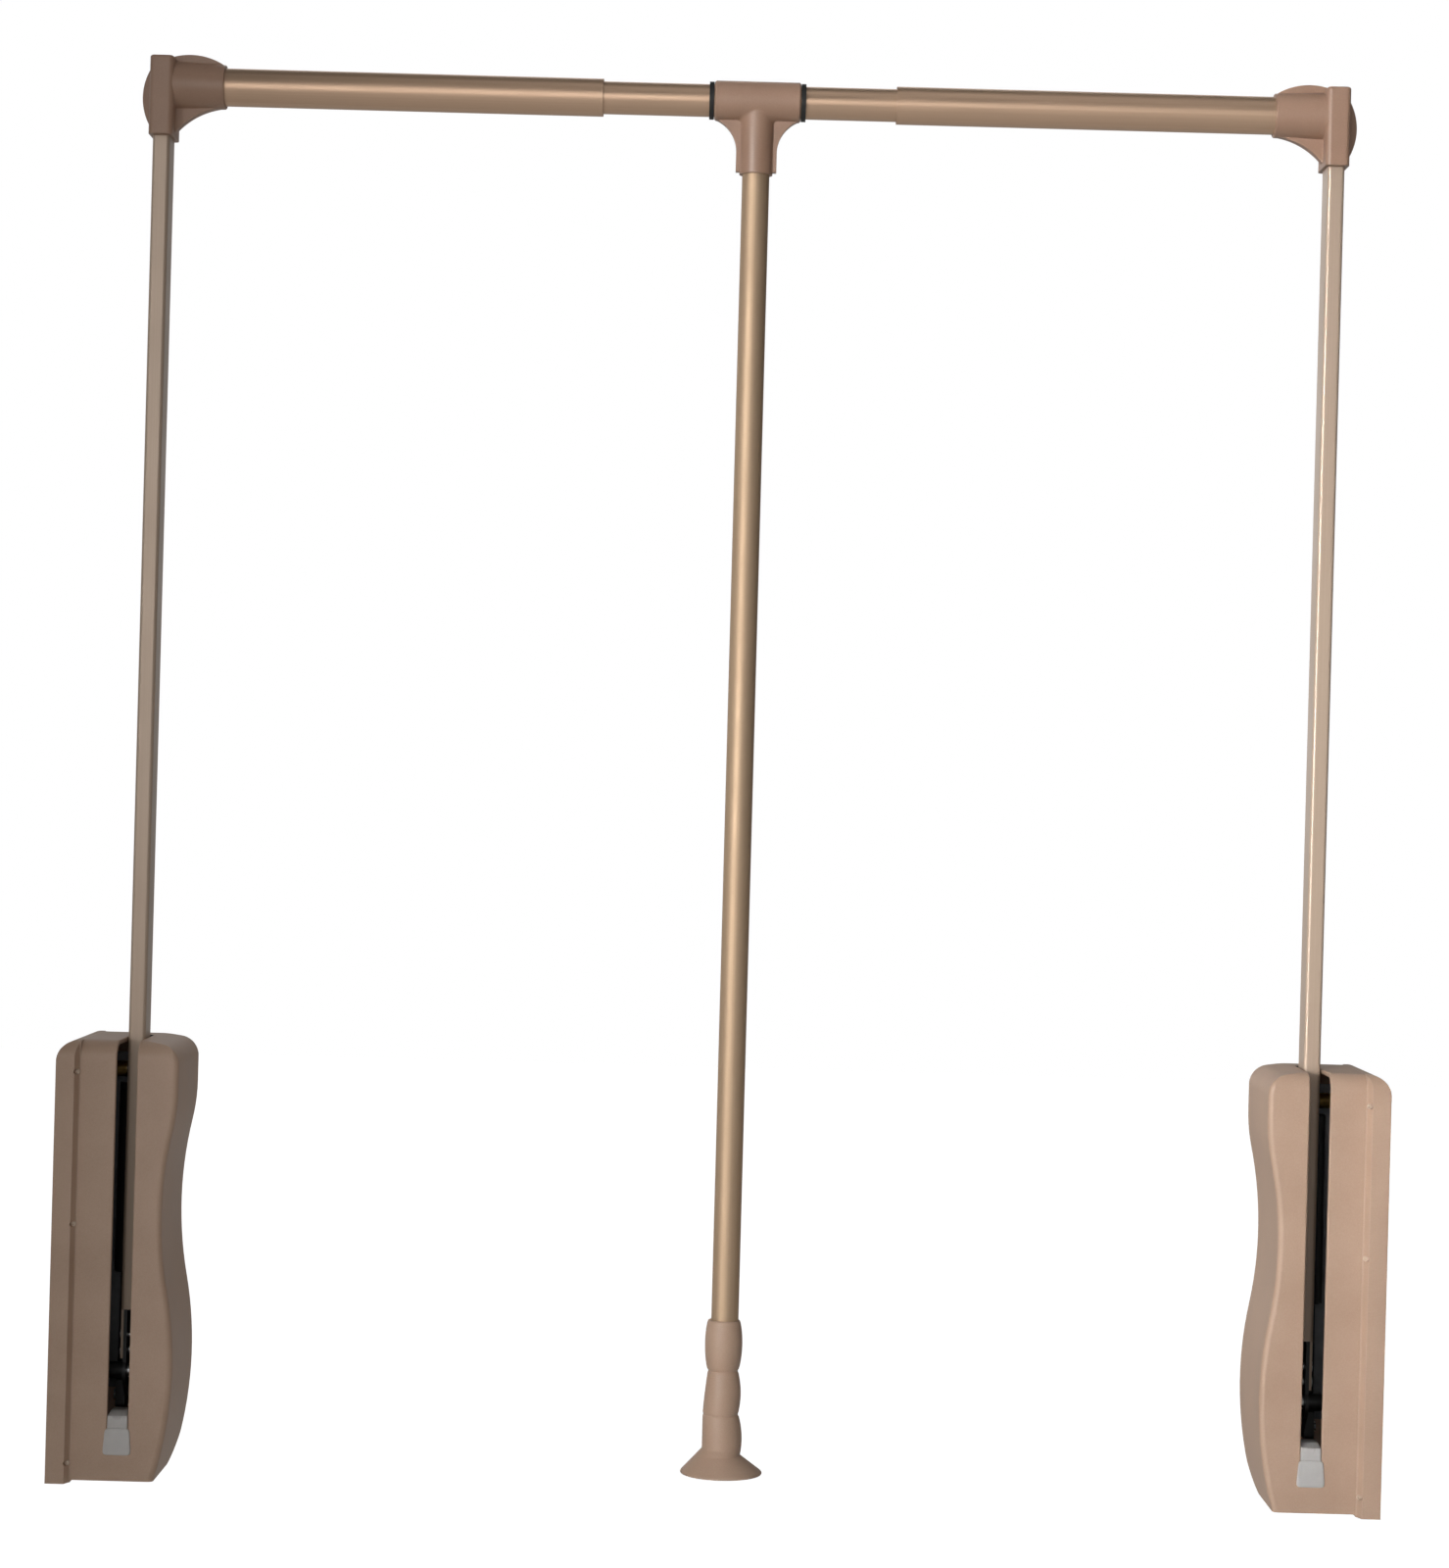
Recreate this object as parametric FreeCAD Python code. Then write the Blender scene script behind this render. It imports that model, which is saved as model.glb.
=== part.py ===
import FreeCAD, Part
import math
import os

# Pull-down wardrobe rail, in millimetres. X runs along the rail, the front is at -Y and Z is up.
# The origin lies midway between the two housings, level with their feet.

# Layout
overall_width = 767.0  # between the faces that sit on the wardrobe's side walls
arm_from_wall = 40.0  # wall face to the middle of the arm
housing_height = 254.5
pivot_height = 58.5
rail_height = 812.5
arm_swing = 102.0  # degrees from raised to lowered
tee_offset = 4.5  # the handle hangs this far to the right of the middle

# Fits
fixed_gap = 0.05  # radial gap between pieces that are fixed together
running_gap = 0.05  # radial gap of turning and sliding fits
passing_gap = 0.3  # gap between pieces that pass each other
rubber_gap = 0.2  # gap around the rubber pieces in the slot

# Base shell
base_depth = 92.0
base_floor = 3.0
base_wall = 2.5
base_strip_width = 10.8
base_riser_width = 2.0
base_width = 13.4
base_top_radius = 12.0
wall_hole_radius = 2.5
wall_hole_front = -30.0
wall_hole_back = 4.0
wall_hole_low = 20.0
wall_hole_drop = 25.0  # housing's top down to the upper holes

# Cover
cover_depth = 82.0
cover_wall = 2.5
cover_foot = 1.5
cover_reach = 30.5  # arm's middle to the bulge, the widest place
cover_waist_depth = 8.5
cover_shoulder_depth = 0.7
cover_bulge_radius = 230.0
cover_bulge_share = 0.2613  # of the housing's height
cover_waist_share = 0.607
cover_shoulder_drop = 28.0
cover_top_slope = 8.5  # degrees, falling towards the room
cover_crown_radius = 40.0  # where the level top turns into the slope
cover_level_margin = 1.0
cover_corner_radius = 12.0
cover_front_edge = 3.2
cover_back_edge = 6.5
housing_top_radius = 10.0
heel_radius = 36.0  # lower back corner of the cover
heel_drop = 0.5  # its arc would touch a level this far below the foot
slot_width = 12.0
slot_foot = 18.5
slot_back = 14.0
slot_edge_radius = 0.8
cover_screw_low = 11.7
cover_screw_share = 0.5855
cover_screw_drop = 18.0
cover_screw_radius = 1.0
cover_screw_length = 7.5
cover_screw_head_radius = 1.5
cover_screw_head_height = 1.3
cover_screw_sink = 0.4
tongue_height = 7.0
tongue_thickness = 5.0
tongue_root = 6.0
tongue_tip = 2.5

# Rubber pieces
bumper_foot_width = 16.4
bumper_top_width = 14.0
bumper_flange = 1.2
bumper_overhang = 2.0  # below the slot's foot
bumper_flange_drop = 9.5  # neck's top down to the flange's top
bumper_depth = 15.0
bumper_lip_width = 14.8
bumper_lip = 2.5
bumper_top_drop = 17.0  # pivot down to the neck's top, before the saddle is cut
bumper_edge_radius = 0.5
stop_height = 3.0
stop_lip = 4.0
stop_lip_side = 0.9

# Chassis
sheet = 2.0
fold_radius = 2.5
chassis_side_gap = 2.0
chassis_foot = 10.0
chassis_inner_face = 10.0  # arm's middle to the near face of the inner flange
chassis_corner_radius = 6.0
chassis_heel_radius = 22.0
flange_width = 10.5
pivot_lug_reach = 12.0
pivot_lug_below = 16.0
pivot_lug_above = 18.0
lug_slope = 12.0
strut_lug_reach = 12.0
strut_lug_below = 13.0
rivet_radius = 2.0
rivet_head_radius = 3.6
rivet_head_height = 1.2
chassis_rivet_front = -26.0
chassis_rivet_back = 24.0
chassis_rivet_low_share = 0.32
chassis_rivet_high_share = 0.68

# Pins
pivot_radius = 4.0
strut_pin_radius = 3.0
pin_head_rim = 2.0
pin_head_height = 1.8
clip_rim = 2.5
clip_thickness = 1.0
bush_wall = 1.0
spacer_wall = 1.5
spacer_gap = 0.5

# Arm and its bracket
arm_width = 10.0
arm_depth = 20.0
arm_wall = 1.5
arm_corner = 2.0
arm_above_pivot = 8.0
arm_above_rail = 12.5
arm_notch_above_pivot = 37.0
arm_notch_depth = 2.5
arm_rivets_above_pivot = (12.0, 21.0)
arm_rivet_head_radius = 3.4
arm_rivet_head_height = 1.1
bracket_gap = 0.1
bracket_sheet = 2.0
bracket_above_pivot = 76.0
bracket_lobe_radius = 10.0
bracket_crank_radius = 6.5
bracket_web_margin = 3.0

# Gas strut and crank
crank_radius = 20.0
crank_pin_radius = 3.0
crank_pin_head_rim = 1.5
strut_lean = 2.5  # degrees, the top leans back
strut_radius = 7.5
strut_wall = 1.2
strut_end_wall = 3.0
strut_edge_radius = 1.0
strut_start = 56.0  # along the strut's axis from the point abreast of the pivot
strut_eye_drop = 21.0  # housing's top down to the upper pin
strut_eye_rise = 8.0
strut_eye_radius = 5.5
strut_eye_gap = 0.2
strut_rod_radius = 3.5
seal_start = 0.8
seal_length = 11.2
piston_start = 14.0
piston_length = 8.0
rod_tip_radius = 2.0
rod_tip_length = 5.0
yoke_thickness = 5.6
yoke_side_gap = 0.25
yoke_end_gap = 0.95
yoke_wall = 2.5
yoke_foot_wall = 3.2
yoke_head = 6.0
yoke_corner = 2.0

# Rail
outer_tube_radius = 11.0
tube_wall = 1.2
outer_tube_end = 86.0  # inner end of the outer tube, from the middle
inner_tube_length = 330.0
plug_rim = 2.0
plug_stem = 12.0

# Elbow
elbow_side_wall = 2.0
elbow_front_wall = 5.0
elbow_below_rail = 30.5
elbow_above_rail = 15.5
elbow_mouth = 36.0  # arm's middle to the mouth of the rail socket
elbow_root_wall = 3.2
elbow_mouth_wall = 1.8
elbow_corner = 3.0
elbow_top_radius = 1.5
elbow_mouth_edge = 0.6
elbow_web = 6.0
elbow_web_end = 1.0  # from the mouth back to the webs
elbow_web_rise = 3.0  # foot up to the start of the lower web
elbow_scoop = 3.0
elbow_crest = 4.4
elbow_back_bulge = 6.5
elbow_tube_stop = 1.0
screw_radius = 1.6
screw_head_radius = 3.0
screw_head_height = 1.5
screw_length = 4.0
elbow_screw_drop = 20.0
elbow_screw_along = 24.0
elbow_screw_sink = 1.7
elbow_screw_floor = 1.3  # socket wall left under the second screw's head

# Tee, pull rod and grip
tee_length = 50.6
tee_wall = 2.2
tee_rim = 0.9
tee_socket_wall = 1.75
tee_drop = 43.0
tee_blend = 2.5
tee_web = 5.0
tee_web_side = 2.2
tee_web_end = 1.0
tee_web_foot = 1.5
tee_scoop = 3.4
tee_scoop_drop = 18.0
tee_screw_drop = 32.0
tee_screw_sink = 0.55
ring_width = 2.7
ring_gap = 0.25
pull_rod_radius = 8.0
pull_rod_wall = 1.2
pull_rod_drop = 16.0  # rail's middle down to the rod's top
pull_rod_in_grip = 25.0
grip_foot = 7.5
grip_length = 90.0
grip_top_radius = 9.0
grip_lobe_radius = 11.1
grip_crease_radius = 8.9
grip_waist_radius = 10.5
grip_hip_radius = 11.4
grip_neck_radius = 10.9
grip_flare_radius = 24.0
grip_rim_height = 1.6
grip_rim_round = 0.8
grip_dish = 1.5
grip_dish_margin = 4.0
finger_groove_radius = 9.0
finger_groove_depth = 1.2

# Derived places. One side is drawn with the arm's middle plane at X = 0, the wall at -X and the room at +X.
arm_x = overall_width / 2 - arm_from_wall
wall_x = -arm_from_wall
floor_x = wall_x + base_floor
seam_x = wall_x + base_width
wall_hole_high = housing_height - wall_hole_drop
wall_holes = [(y, z) for y in (wall_hole_front, wall_hole_back) for z in (wall_hole_low, wall_hole_high)]
cover_front = -cover_depth / 2
cover_inside = cover_depth / 2 - cover_wall
cover_screw_heights = [
    cover_screw_low,
    cover_screw_share * housing_height,
    housing_height - cover_screw_drop,
]
cover_screw_x = wall_x + base_strip_width + base_riser_width / 2
cover_screw_y = cover_front - cover_screw_sink
chassis_back = cover_inside - chassis_side_gap
chassis_front = -chassis_back
chassis_top = housing_height - base_top_radius
rivet_heights = [share * housing_height for share in (chassis_rivet_low_share, chassis_rivet_high_share)]
chassis_rivet_places = [(y, z) for y in (chassis_rivet_front, chassis_rivet_back) for z in rivet_heights]
arm_foot = pivot_height + arm_above_pivot
arm_top = rail_height + arm_above_rail
arm_rivet_heights = [pivot_height + rise for rise in arm_rivets_above_pivot]
bracket_top = pivot_height + bracket_above_pivot
cheek_x = arm_width / 2 - arm_wall - bracket_gap
yoke_near = -(cheek_x + 2 * passing_gap)
yoke_far = yoke_near - yoke_thickness
strut_x = (yoke_near + yoke_far) / 2
half_swing = math.radians(arm_swing / 2)
lean = math.radians(strut_lean)
strut_offset = crank_radius * (1 + math.cos(half_swing)) / 2
crank_side = crank_radius * (1 - math.cos(half_swing)) / 2
strut_travel = 2 * crank_radius * math.sin(half_swing)
strut_rise = housing_height - strut_eye_drop - pivot_height
strut_eye = (strut_rise + strut_offset * math.sin(lean)) / math.cos(lean)
strut_end = strut_eye - strut_eye_rise
yoke_half_height = crank_pin_radius + yoke_end_gap
yoke_top = -strut_travel / 2 + yoke_half_height + yoke_head
inner_tube_radius = outer_tube_radius - tube_wall - passing_gap
tube_start = arm_width / 2 + elbow_side_wall + elbow_tube_stop
elbow_foot = rail_height - elbow_below_rail
elbow_top = rail_height + elbow_above_rail
elbow_half_x = arm_width / 2 + elbow_side_wall
elbow_half_y = arm_depth / 2 + elbow_front_wall
tee_radius = inner_tube_radius + tee_wall
tee_socket_radius = pull_rod_radius + tee_socket_wall
tee_foot = rail_height - tee_drop
pull_rod_top = rail_height - pull_rod_drop
grip_top = grip_foot + grip_length
pull_rod_foot = grip_top - pull_rod_in_grip


def at(x, y, z):
    return FreeCAD.Vector(x, y, z)


def box(x, y, z):
    """A block from three pairs of limits."""
    return Part.makeBox(x[1] - x[0], y[1] - y[0], z[1] - z[0], at(x[0], y[0], z[0]))


def bar(radius, start, end):
    """A round bar between two points."""
    return Part.makeCylinder(radius, (end - start).Length, start, end - start)


def pipe(radius, bore, start, end):
    """A round tube between two points."""
    return bar(radius, start, end).cut(bar(bore, start, end))


def through_x(radius, y, z, start, end):
    """A round bar along X."""
    return bar(radius, at(start, y, z), at(end, y, z))


def prism(points, along):
    """A straight-sided outline pushed along a vector."""
    return Part.Face(Part.makePolygon(points + points[:1])).extrude(along)


def profile(edges, along):
    """A closed chain of lines and curves pushed along a vector."""
    return Part.Face(Part.Wire(edges)).extrude(along)


def lines(*points):
    """Straight edges from point to point."""
    return [Part.makeLine(a, b) for a, b in zip(points, points[1:])]


def arc(start, middle, end):
    return Part.Arc(start, middle, end).toShape()


def bent(start, end, sag):
    """An arc in a plane square to Y; the sag is how far it leaves the straight line between its ends."""
    along = end - start
    aside = at(-along.z, 0, along.x)
    aside.normalize()
    return arc(start, (start + end) * 0.5 + aside * sag, end)


def join(pieces):
    return pieces[0].multiFuse(pieces[1:]).removeSplitter()


def cut_all(shape, cuts):
    for cut in cuts:
        shape = shape.cut(cut)
    return shape


def middle_of(edge):
    return edge.valueAt((edge.FirstParameter + edge.LastParameter) / 2)


def rounded(shape, radius, wanted):
    """Rounds the edges whose middle point passes the test."""
    edges = [edge for edge in shape.Edges if wanted(middle_of(edge))]
    return shape.makeFillet(radius, edges)


def close(a, b):
    return abs(a - b) < 0.01


def rounded_post(half_x, half_y, foot, top, corner):
    """An upright block on the arm's axis whose upright edges are rounded."""
    post = box((-half_x, half_x), (-half_y, half_y), (foot, top))
    return rounded(post, corner, lambda p: close(p.z, (foot + top) / 2))


def on_strut(side, along, x=strut_x):
    """A point beside the pivot: 'side' square to the strut's axis, 'along' up the strut."""
    y = side * math.cos(lean) + along * math.sin(lean)
    z = pivot_height - side * math.sin(lean) + along * math.cos(lean)
    return at(x, y, z)


def strut_bar(radius, low, high):
    return bar(radius, on_strut(strut_offset, low), on_strut(strut_offset, high))


def strut_block(x, side, along):
    """A block set square to the leaning strut."""
    block = box(x, side, along)
    block.rotate(at(0, 0, 0), at(1, 0, 0), -strut_lean)
    block.translate(at(0, 0, pivot_height))
    return block


def pivot_at(x):
    return at(x, 0, pivot_height)


def strut_top(x):
    """The strut's upper pin, at any place across the housing."""
    return on_strut(strut_offset, strut_eye, x)


def crank_at(x):
    return on_strut(crank_radius * math.cos(half_swing), -strut_travel / 2, x)


def lowered(shape):
    """The shape after the arm has swung down."""
    moved = shape.copy()
    moved.rotate(pivot_at(0), at(1, 0, 0), arm_swing)
    return moved


def export(name, *pieces):
    shape = Part.makeCompound(pieces) if len(pieces) > 1 else pieces[0]
    shape.exportStep("parts/" + name + ".step")


def export_pair(name, *pieces):
    """Writes the left piece and its mirror image on the right."""
    left = []
    right = []
    for piece in pieces:
        shape = piece.copy()
        shape.translate(at(-arm_x, 0, 0))
        left.append(shape)
        right.append(shape.mirror(at(0, 0, 0), at(1, 0, 0)))
    export("left_" + name, *left)
    export("right_" + name, *right)


def side_view(half_depth, foot, top, radius, heel):
    """A wide block with the housing's outline from the side: both top corners and the heel are rounded."""
    low = foot - heel_drop
    block = box((2 * wall_x, 2 * cover_reach), (-half_depth, half_depth), (low, top))
    block = rounded(block, radius, lambda p: close(p.z, top) and close(abs(p.y), half_depth))
    return rounded(block, heel, lambda p: close(p.z, low) and close(p.y, half_depth))


def base_form(wall, floor, foot, opening):
    """The base shell's outside, or its hollow when wall and floor are given."""
    strip = base_depth / 2 - wall
    shoulder = cover_depth / 2 - wall
    back = wall_x + floor
    turn = math.atan2((base_depth - cover_depth) / 2, base_riser_width)
    strip_end = wall_x + base_strip_width - wall * math.tan(turn / 2)
    front = [
        at(back, -strip, foot),
        at(strip_end, -strip, foot),
        at(strip_end + base_riser_width, -shoulder, foot),
        at(seam_x + opening, -shoulder, foot),
    ]
    rear = [at(p.x, -p.y, p.z) for p in reversed(front)]
    top = housing_height - wall
    form = prism(front + rear, at(0, 0, top - foot))
    form = rounded(form, base_top_radius - floor, lambda p: close(p.z, top) and close(p.x, back))
    heel = heel_radius + (base_depth - cover_depth) / 2 - wall
    return form.common(side_view(strip, foot, top, housing_top_radius - wall, heel))


def bow(x, z, radius, start, end, y):
    """Part of a circle in a plane square to Y, between two angles in radians."""
    places = [start, (start + end) / 2, end]
    return arc(*[at(x + radius * math.cos(a), y, z + radius * math.sin(a)) for a in places])


def wavy_side(inset, foot, y):
    """The cover's room side from its foot up: a bulge, a waist and a shoulder, three arcs that touch."""
    bulge_height = cover_bulge_share * housing_height
    waist_height = cover_waist_share * housing_height
    shoulder_height = housing_height - cover_shoulder_drop
    waist_reach = cover_reach - cover_waist_depth
    shoulder_reach = cover_reach - cover_shoulder_depth
    rise = waist_height - bulge_height
    low_sum = (cover_waist_depth**2 + rise**2) / (2 * cover_waist_depth)
    waist_radius = low_sum - cover_bulge_radius
    low_turn = math.atan2(rise, low_sum - cover_waist_depth)
    climb = cover_waist_depth - cover_shoulder_depth
    lift = shoulder_height - waist_height
    high_sum = (climb**2 + lift**2) / (2 * climb)
    shoulder_radius = high_sum - waist_radius
    high_turn = math.atan2(lift, high_sum - climb)
    bulge = cover_bulge_radius - inset
    waist = waist_radius + inset
    shoulder = shoulder_radius - inset
    start = math.asin((foot - bulge_height) / bulge)
    return [
        bow(cover_reach - cover_bulge_radius, bulge_height, bulge, start, low_turn, y),
        bow(waist_reach + waist_radius, waist_height, waist, math.pi + low_turn, math.pi - high_turn, y),
        bow(shoulder_reach - shoulder_radius, shoulder_height, shoulder, -high_turn, 0.0, y),
    ]


def cover_form(inset, opening):
    """The cover's outside, or its hollow when inset is the wall thickness."""
    half = cover_depth / 2 - inset
    foot = cover_foot + inset
    top = housing_height - inset
    seam = seam_x - opening
    slope = math.radians(cover_top_slope)
    slope_start = slot_width / 2 + cover_crown_radius * math.tan(slope / 2) + cover_level_margin
    shoulder = cover_reach - cover_shoulder_depth - inset
    corner = top - (shoulder - slope_start) * math.tan(slope)
    side = wavy_side(inset, foot, -half)
    rest = lines(
        side[2].valueAt(side[2].LastParameter),
        at(shoulder, -half, corner),
        at(slope_start, -half, top),
        at(seam, -half, top),
        at(seam, -half, foot),
        side[0].valueAt(side[0].FirstParameter),
    )
    form = profile(side + rest, at(0, 2 * half, 0))
    form = rounded(
        form, cover_corner_radius - inset, lambda p: close(p.x, shoulder) and close(p.z, corner)
    )
    form = rounded(form, cover_crown_radius, lambda p: close(p.x, slope_start) and close(p.z, top))
    for y, radius in ((-half, cover_front_edge), (half, cover_back_edge)):
        form = rounded(
            form, radius - inset, lambda p: close(p.y, y) and p.z > foot + 1 and p.x > seam + 1
        )
    return form.common(side_view(half, foot, top, housing_top_radius - inset, heel_radius - inset))


def make_base():
    shell = base_form(0.0, 0.0, 0.0, 0.0)
    shell = shell.cut(base_form(base_wall, base_floor, base_wall, 1.0))
    cuts = [through_x(wall_hole_radius, y, z, wall_x - 1, floor_x + 1) for y, z in wall_holes]
    for y, z in chassis_rivet_places:
        cuts.append(through_x(rivet_radius + fixed_gap, y, z, wall_x - 1, floor_x + 1))
        cuts.append(through_x(rivet_head_radius + fixed_gap, y, z, wall_x - 1, wall_x + rivet_head_height))
    for z in cover_screw_heights:
        seat = at(cover_screw_x, cover_screw_y, z)
        cuts.append(bar(cover_screw_head_radius + fixed_gap, seat - at(0, base_depth, 0), seat))
        cuts.append(bar(cover_screw_radius + fixed_gap, seat, seat + at(0, cover_screw_length + 2, 0)))
    return cut_all(shell, cuts)


def make_cover():
    """The wavy moulding, open to the base, with the arm's slot through its front and top."""
    outside = cover_form(0.0, 0.0)
    half_slot = slot_width / 2
    slot = box((-half_slot, half_slot), (-cover_depth, slot_back), (slot_foot, housing_height + 1))
    shell = cut_all(outside, [cover_form(cover_wall, 1.0), slot])
    skin = outside.Shells[0]

    def on_slot_edge(p):
        beside = close(abs(p.x), half_slot) and p.y < slot_back - 1
        return beside and skin.distToShape(Part.Vertex(p))[0] < 0.01

    shell = rounded(shell, slot_edge_radius, on_slot_edge)
    root_end = seam_x + tongue_root
    behind = (-cover_inside + passing_gap, -cover_inside + tongue_thickness)
    into_wall = (-cover_inside - cover_wall / 5, -cover_inside + tongue_thickness)
    for z in cover_screw_heights:
        height = (max(z - tongue_height / 2, cover_foot + cover_wall), z + tongue_height / 2)
        tongue = box((cover_screw_x - tongue_tip, root_end), behind, height)
        root = box((seam_x, root_end), into_wall, height)
        seat = at(cover_screw_x, cover_screw_y, z)
        hole = bar(cover_screw_radius + fixed_gap, seat, seat + at(0, cover_screw_length + 2, 0))
        shell = join([shell, tongue, root]).cut(hole)
    return shell


def make_cover_screw(z):
    seat = at(cover_screw_x, cover_screw_y, z)
    head = bar(cover_screw_head_radius, seat - at(0, cover_screw_head_height, 0), seat)
    shank = bar(cover_screw_radius, seat, seat + at(0, cover_screw_length, 0))
    return join([head, shank])


def make_bumper():
    """A snap-in block: front flange, neck in the slot and inner lip, with a saddle for the lowered arm."""
    face = cover_front - bumper_flange
    neck = slot_width / 2 - rubber_gap
    top = pivot_height - bumper_top_drop
    foot = slot_foot - bumper_overhang
    wide = bumper_foot_width / 2
    narrow = bumper_top_width / 2
    flange_top = top - bumper_flange_drop
    outline = [
        at(-wide, face, foot),
        at(wide, face, foot),
        at(narrow, face, flange_top),
        at(-narrow, face, flange_top),
    ]
    flange = prism(outline, at(0, bumper_flange, 0))
    flange = rounded(flange, bumper_edge_radius, lambda p: close(p.y, face))
    body = box((-neck, neck), (cover_front - bumper_flange / 2, cover_front + bumper_depth), (slot_foot, top))
    behind = cover_front + cover_wall
    half_lip = bumper_lip_width / 2
    lip = box((-half_lip, half_lip), (behind, behind + bumper_lip), (slot_foot, flange_top))
    arm = box(
        (-arm_width / 2 - passing_gap, arm_width / 2 + passing_gap),
        (-arm_depth / 2 - rubber_gap, arm_depth),
        (0, housing_height),
    )
    return join([flange, body, lip]).cut(lowered(arm))


def make_arm_stop():
    """A rubber block at the back end of the slot, with a lip under the cover's top."""
    under = housing_height - cover_wall
    half = slot_width / 2 - rubber_gap
    half_lip = slot_width / 2 + stop_lip_side
    face = arm_depth / 2 + rubber_gap / 2
    block = box((-half, half), (face, slot_back), (under - stop_height, housing_height))
    lip = box((-half_lip, half_lip), (face + 1, slot_back + stop_lip), (under - stop_height, under))
    return join([block, lip])


def make_chassis():
    """Folded sheet: a flange on the base, a web along the back and an inner flange with two lugs."""
    inner = chassis_inner_face
    spine = chassis_back - flange_width
    lug_foot = pivot_height - pivot_lug_below
    lug_top = pivot_height + pivot_lug_above
    pin = strut_top(inner)
    strut_lug_front = pin.y - strut_lug_reach
    strut_lug_foot = pin.z - strut_lug_below
    wall_flange = box((floor_x, floor_x + sheet), (chassis_front, chassis_back), (chassis_foot, chassis_top))
    wall_flange = rounded(
        wall_flange,
        chassis_corner_radius,
        lambda p: close(p.y, chassis_front) and close(p.x, floor_x + sheet / 2),
    )
    wall_flange = rounded(
        wall_flange, chassis_heel_radius, lambda p: close(p.y, chassis_back) and close(p.z, chassis_foot)
    )
    web = box((floor_x, inner + sheet), (chassis_back - sheet, chassis_back), (lug_foot, chassis_top))
    outline = [
        at(inner, chassis_back, lug_foot),
        at(inner, -pivot_lug_reach, lug_foot),
        at(inner, -pivot_lug_reach, lug_top),
        at(inner, spine - lug_slope, lug_top),
        at(inner, spine, lug_top + lug_slope),
        at(inner, spine, strut_lug_foot - spine + strut_lug_front),
        at(inner, strut_lug_front, strut_lug_foot),
        at(inner, strut_lug_front, chassis_top),
        at(inner, chassis_back, chassis_top),
    ]
    flange = prism(outline, at(sheet, 0, 0))
    fronts = (-pivot_lug_reach, strut_lug_front)
    flange = rounded(
        flange,
        chassis_corner_radius,
        lambda p: close(p.x, inner + sheet / 2) and any(close(p.y, front) for front in fronts),
    )
    chassis = join([wall_flange, web, flange])
    chassis = rounded(
        chassis, fold_radius, lambda p: close(p.y, chassis_back) and close(p.x, inner + sheet)
    )
    far = 2 * arm_from_wall
    cuts = [
        bar(pivot_radius + fixed_gap, pivot_at(-far), pivot_at(far)),
        bar(strut_pin_radius + fixed_gap, strut_top(-far), strut_top(far)),
    ]
    for y, z in wall_holes:
        cuts.append(through_x(wall_hole_radius, y, z, floor_x - 1, floor_x + sheet + 1))
    for y, z in chassis_rivet_places:
        cuts.append(through_x(rivet_radius + fixed_gap, y, z, floor_x - 1, floor_x + sheet + 1))
    return cut_all(chassis, cuts)


def make_chassis_rivet(y, z):
    start = wall_x + 2 * fixed_gap
    grip_end = floor_x + sheet
    sunk_head = through_x(rivet_head_radius, y, z, start, wall_x + rivet_head_height)
    shank = through_x(rivet_radius, y, z, start, grip_end + rivet_head_height / 2)
    head = through_x(rivet_head_radius, y, z, grip_end, grip_end + rivet_head_height)
    return join([sunk_head, shank, head])


def make_pin(radius, place):
    """A pin across the chassis with its head on the inner flange."""
    seat = chassis_inner_face + sheet
    head = bar(radius + pin_head_rim, place(seat), place(seat + pin_head_height))
    return join([head, bar(radius, place(floor_x + 2 * fixed_gap), place(seat + pin_head_height / 2))])


def make_clip(radius, place):
    start = floor_x + sheet
    return pipe(radius + clip_rim, radius + fixed_gap, place(start), place(start + clip_thickness))


def make_spacer(radius, wall, place, start, end):
    """A sleeve on a pin."""
    bore = radius + running_gap
    return pipe(bore + wall, bore, place(start), place(end))


def make_strut_cylinder():
    barrel = strut_bar(strut_radius, strut_start, strut_end)
    barrel = rounded(barrel, strut_edge_radius, lambda p: True)
    eye_x = (yoke_far + strut_eye_gap, yoke_near - strut_eye_gap)
    eye_side = (strut_offset - strut_eye_radius, strut_offset + strut_eye_radius)
    tongue = strut_block(eye_x, eye_side, (strut_end - strut_end_wall / 2, strut_eye))
    eye = bar(strut_eye_radius, strut_top(eye_x[0]), strut_top(eye_x[1]))
    bore = strut_bar(strut_radius - strut_wall, strut_start - 1, strut_end - strut_end_wall)
    hole = bar(strut_pin_radius + running_gap, strut_top(2 * yoke_far), strut_top(0))
    return cut_all(join([barrel, tongue, eye]), [bore, hole])


def make_strut_seal():
    low = strut_start + seal_start
    high = low + seal_length
    gland = strut_bar(strut_radius - strut_wall - fixed_gap, low, high)
    return gland.cut(strut_bar(strut_rod_radius + running_gap, low - 1, high + 1))


def make_strut_rod():
    """The piston rod: threaded tip, rod and piston head."""
    low = strut_start + piston_start
    tip = strut_bar(rod_tip_radius, yoke_top - rod_tip_length, yoke_top + 1)
    rod = strut_bar(strut_rod_radius, yoke_top, low + piston_length / 2)
    piston = strut_bar(strut_radius - strut_wall - running_gap, low, low + piston_length)
    return join([tip, rod, piston])


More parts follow.
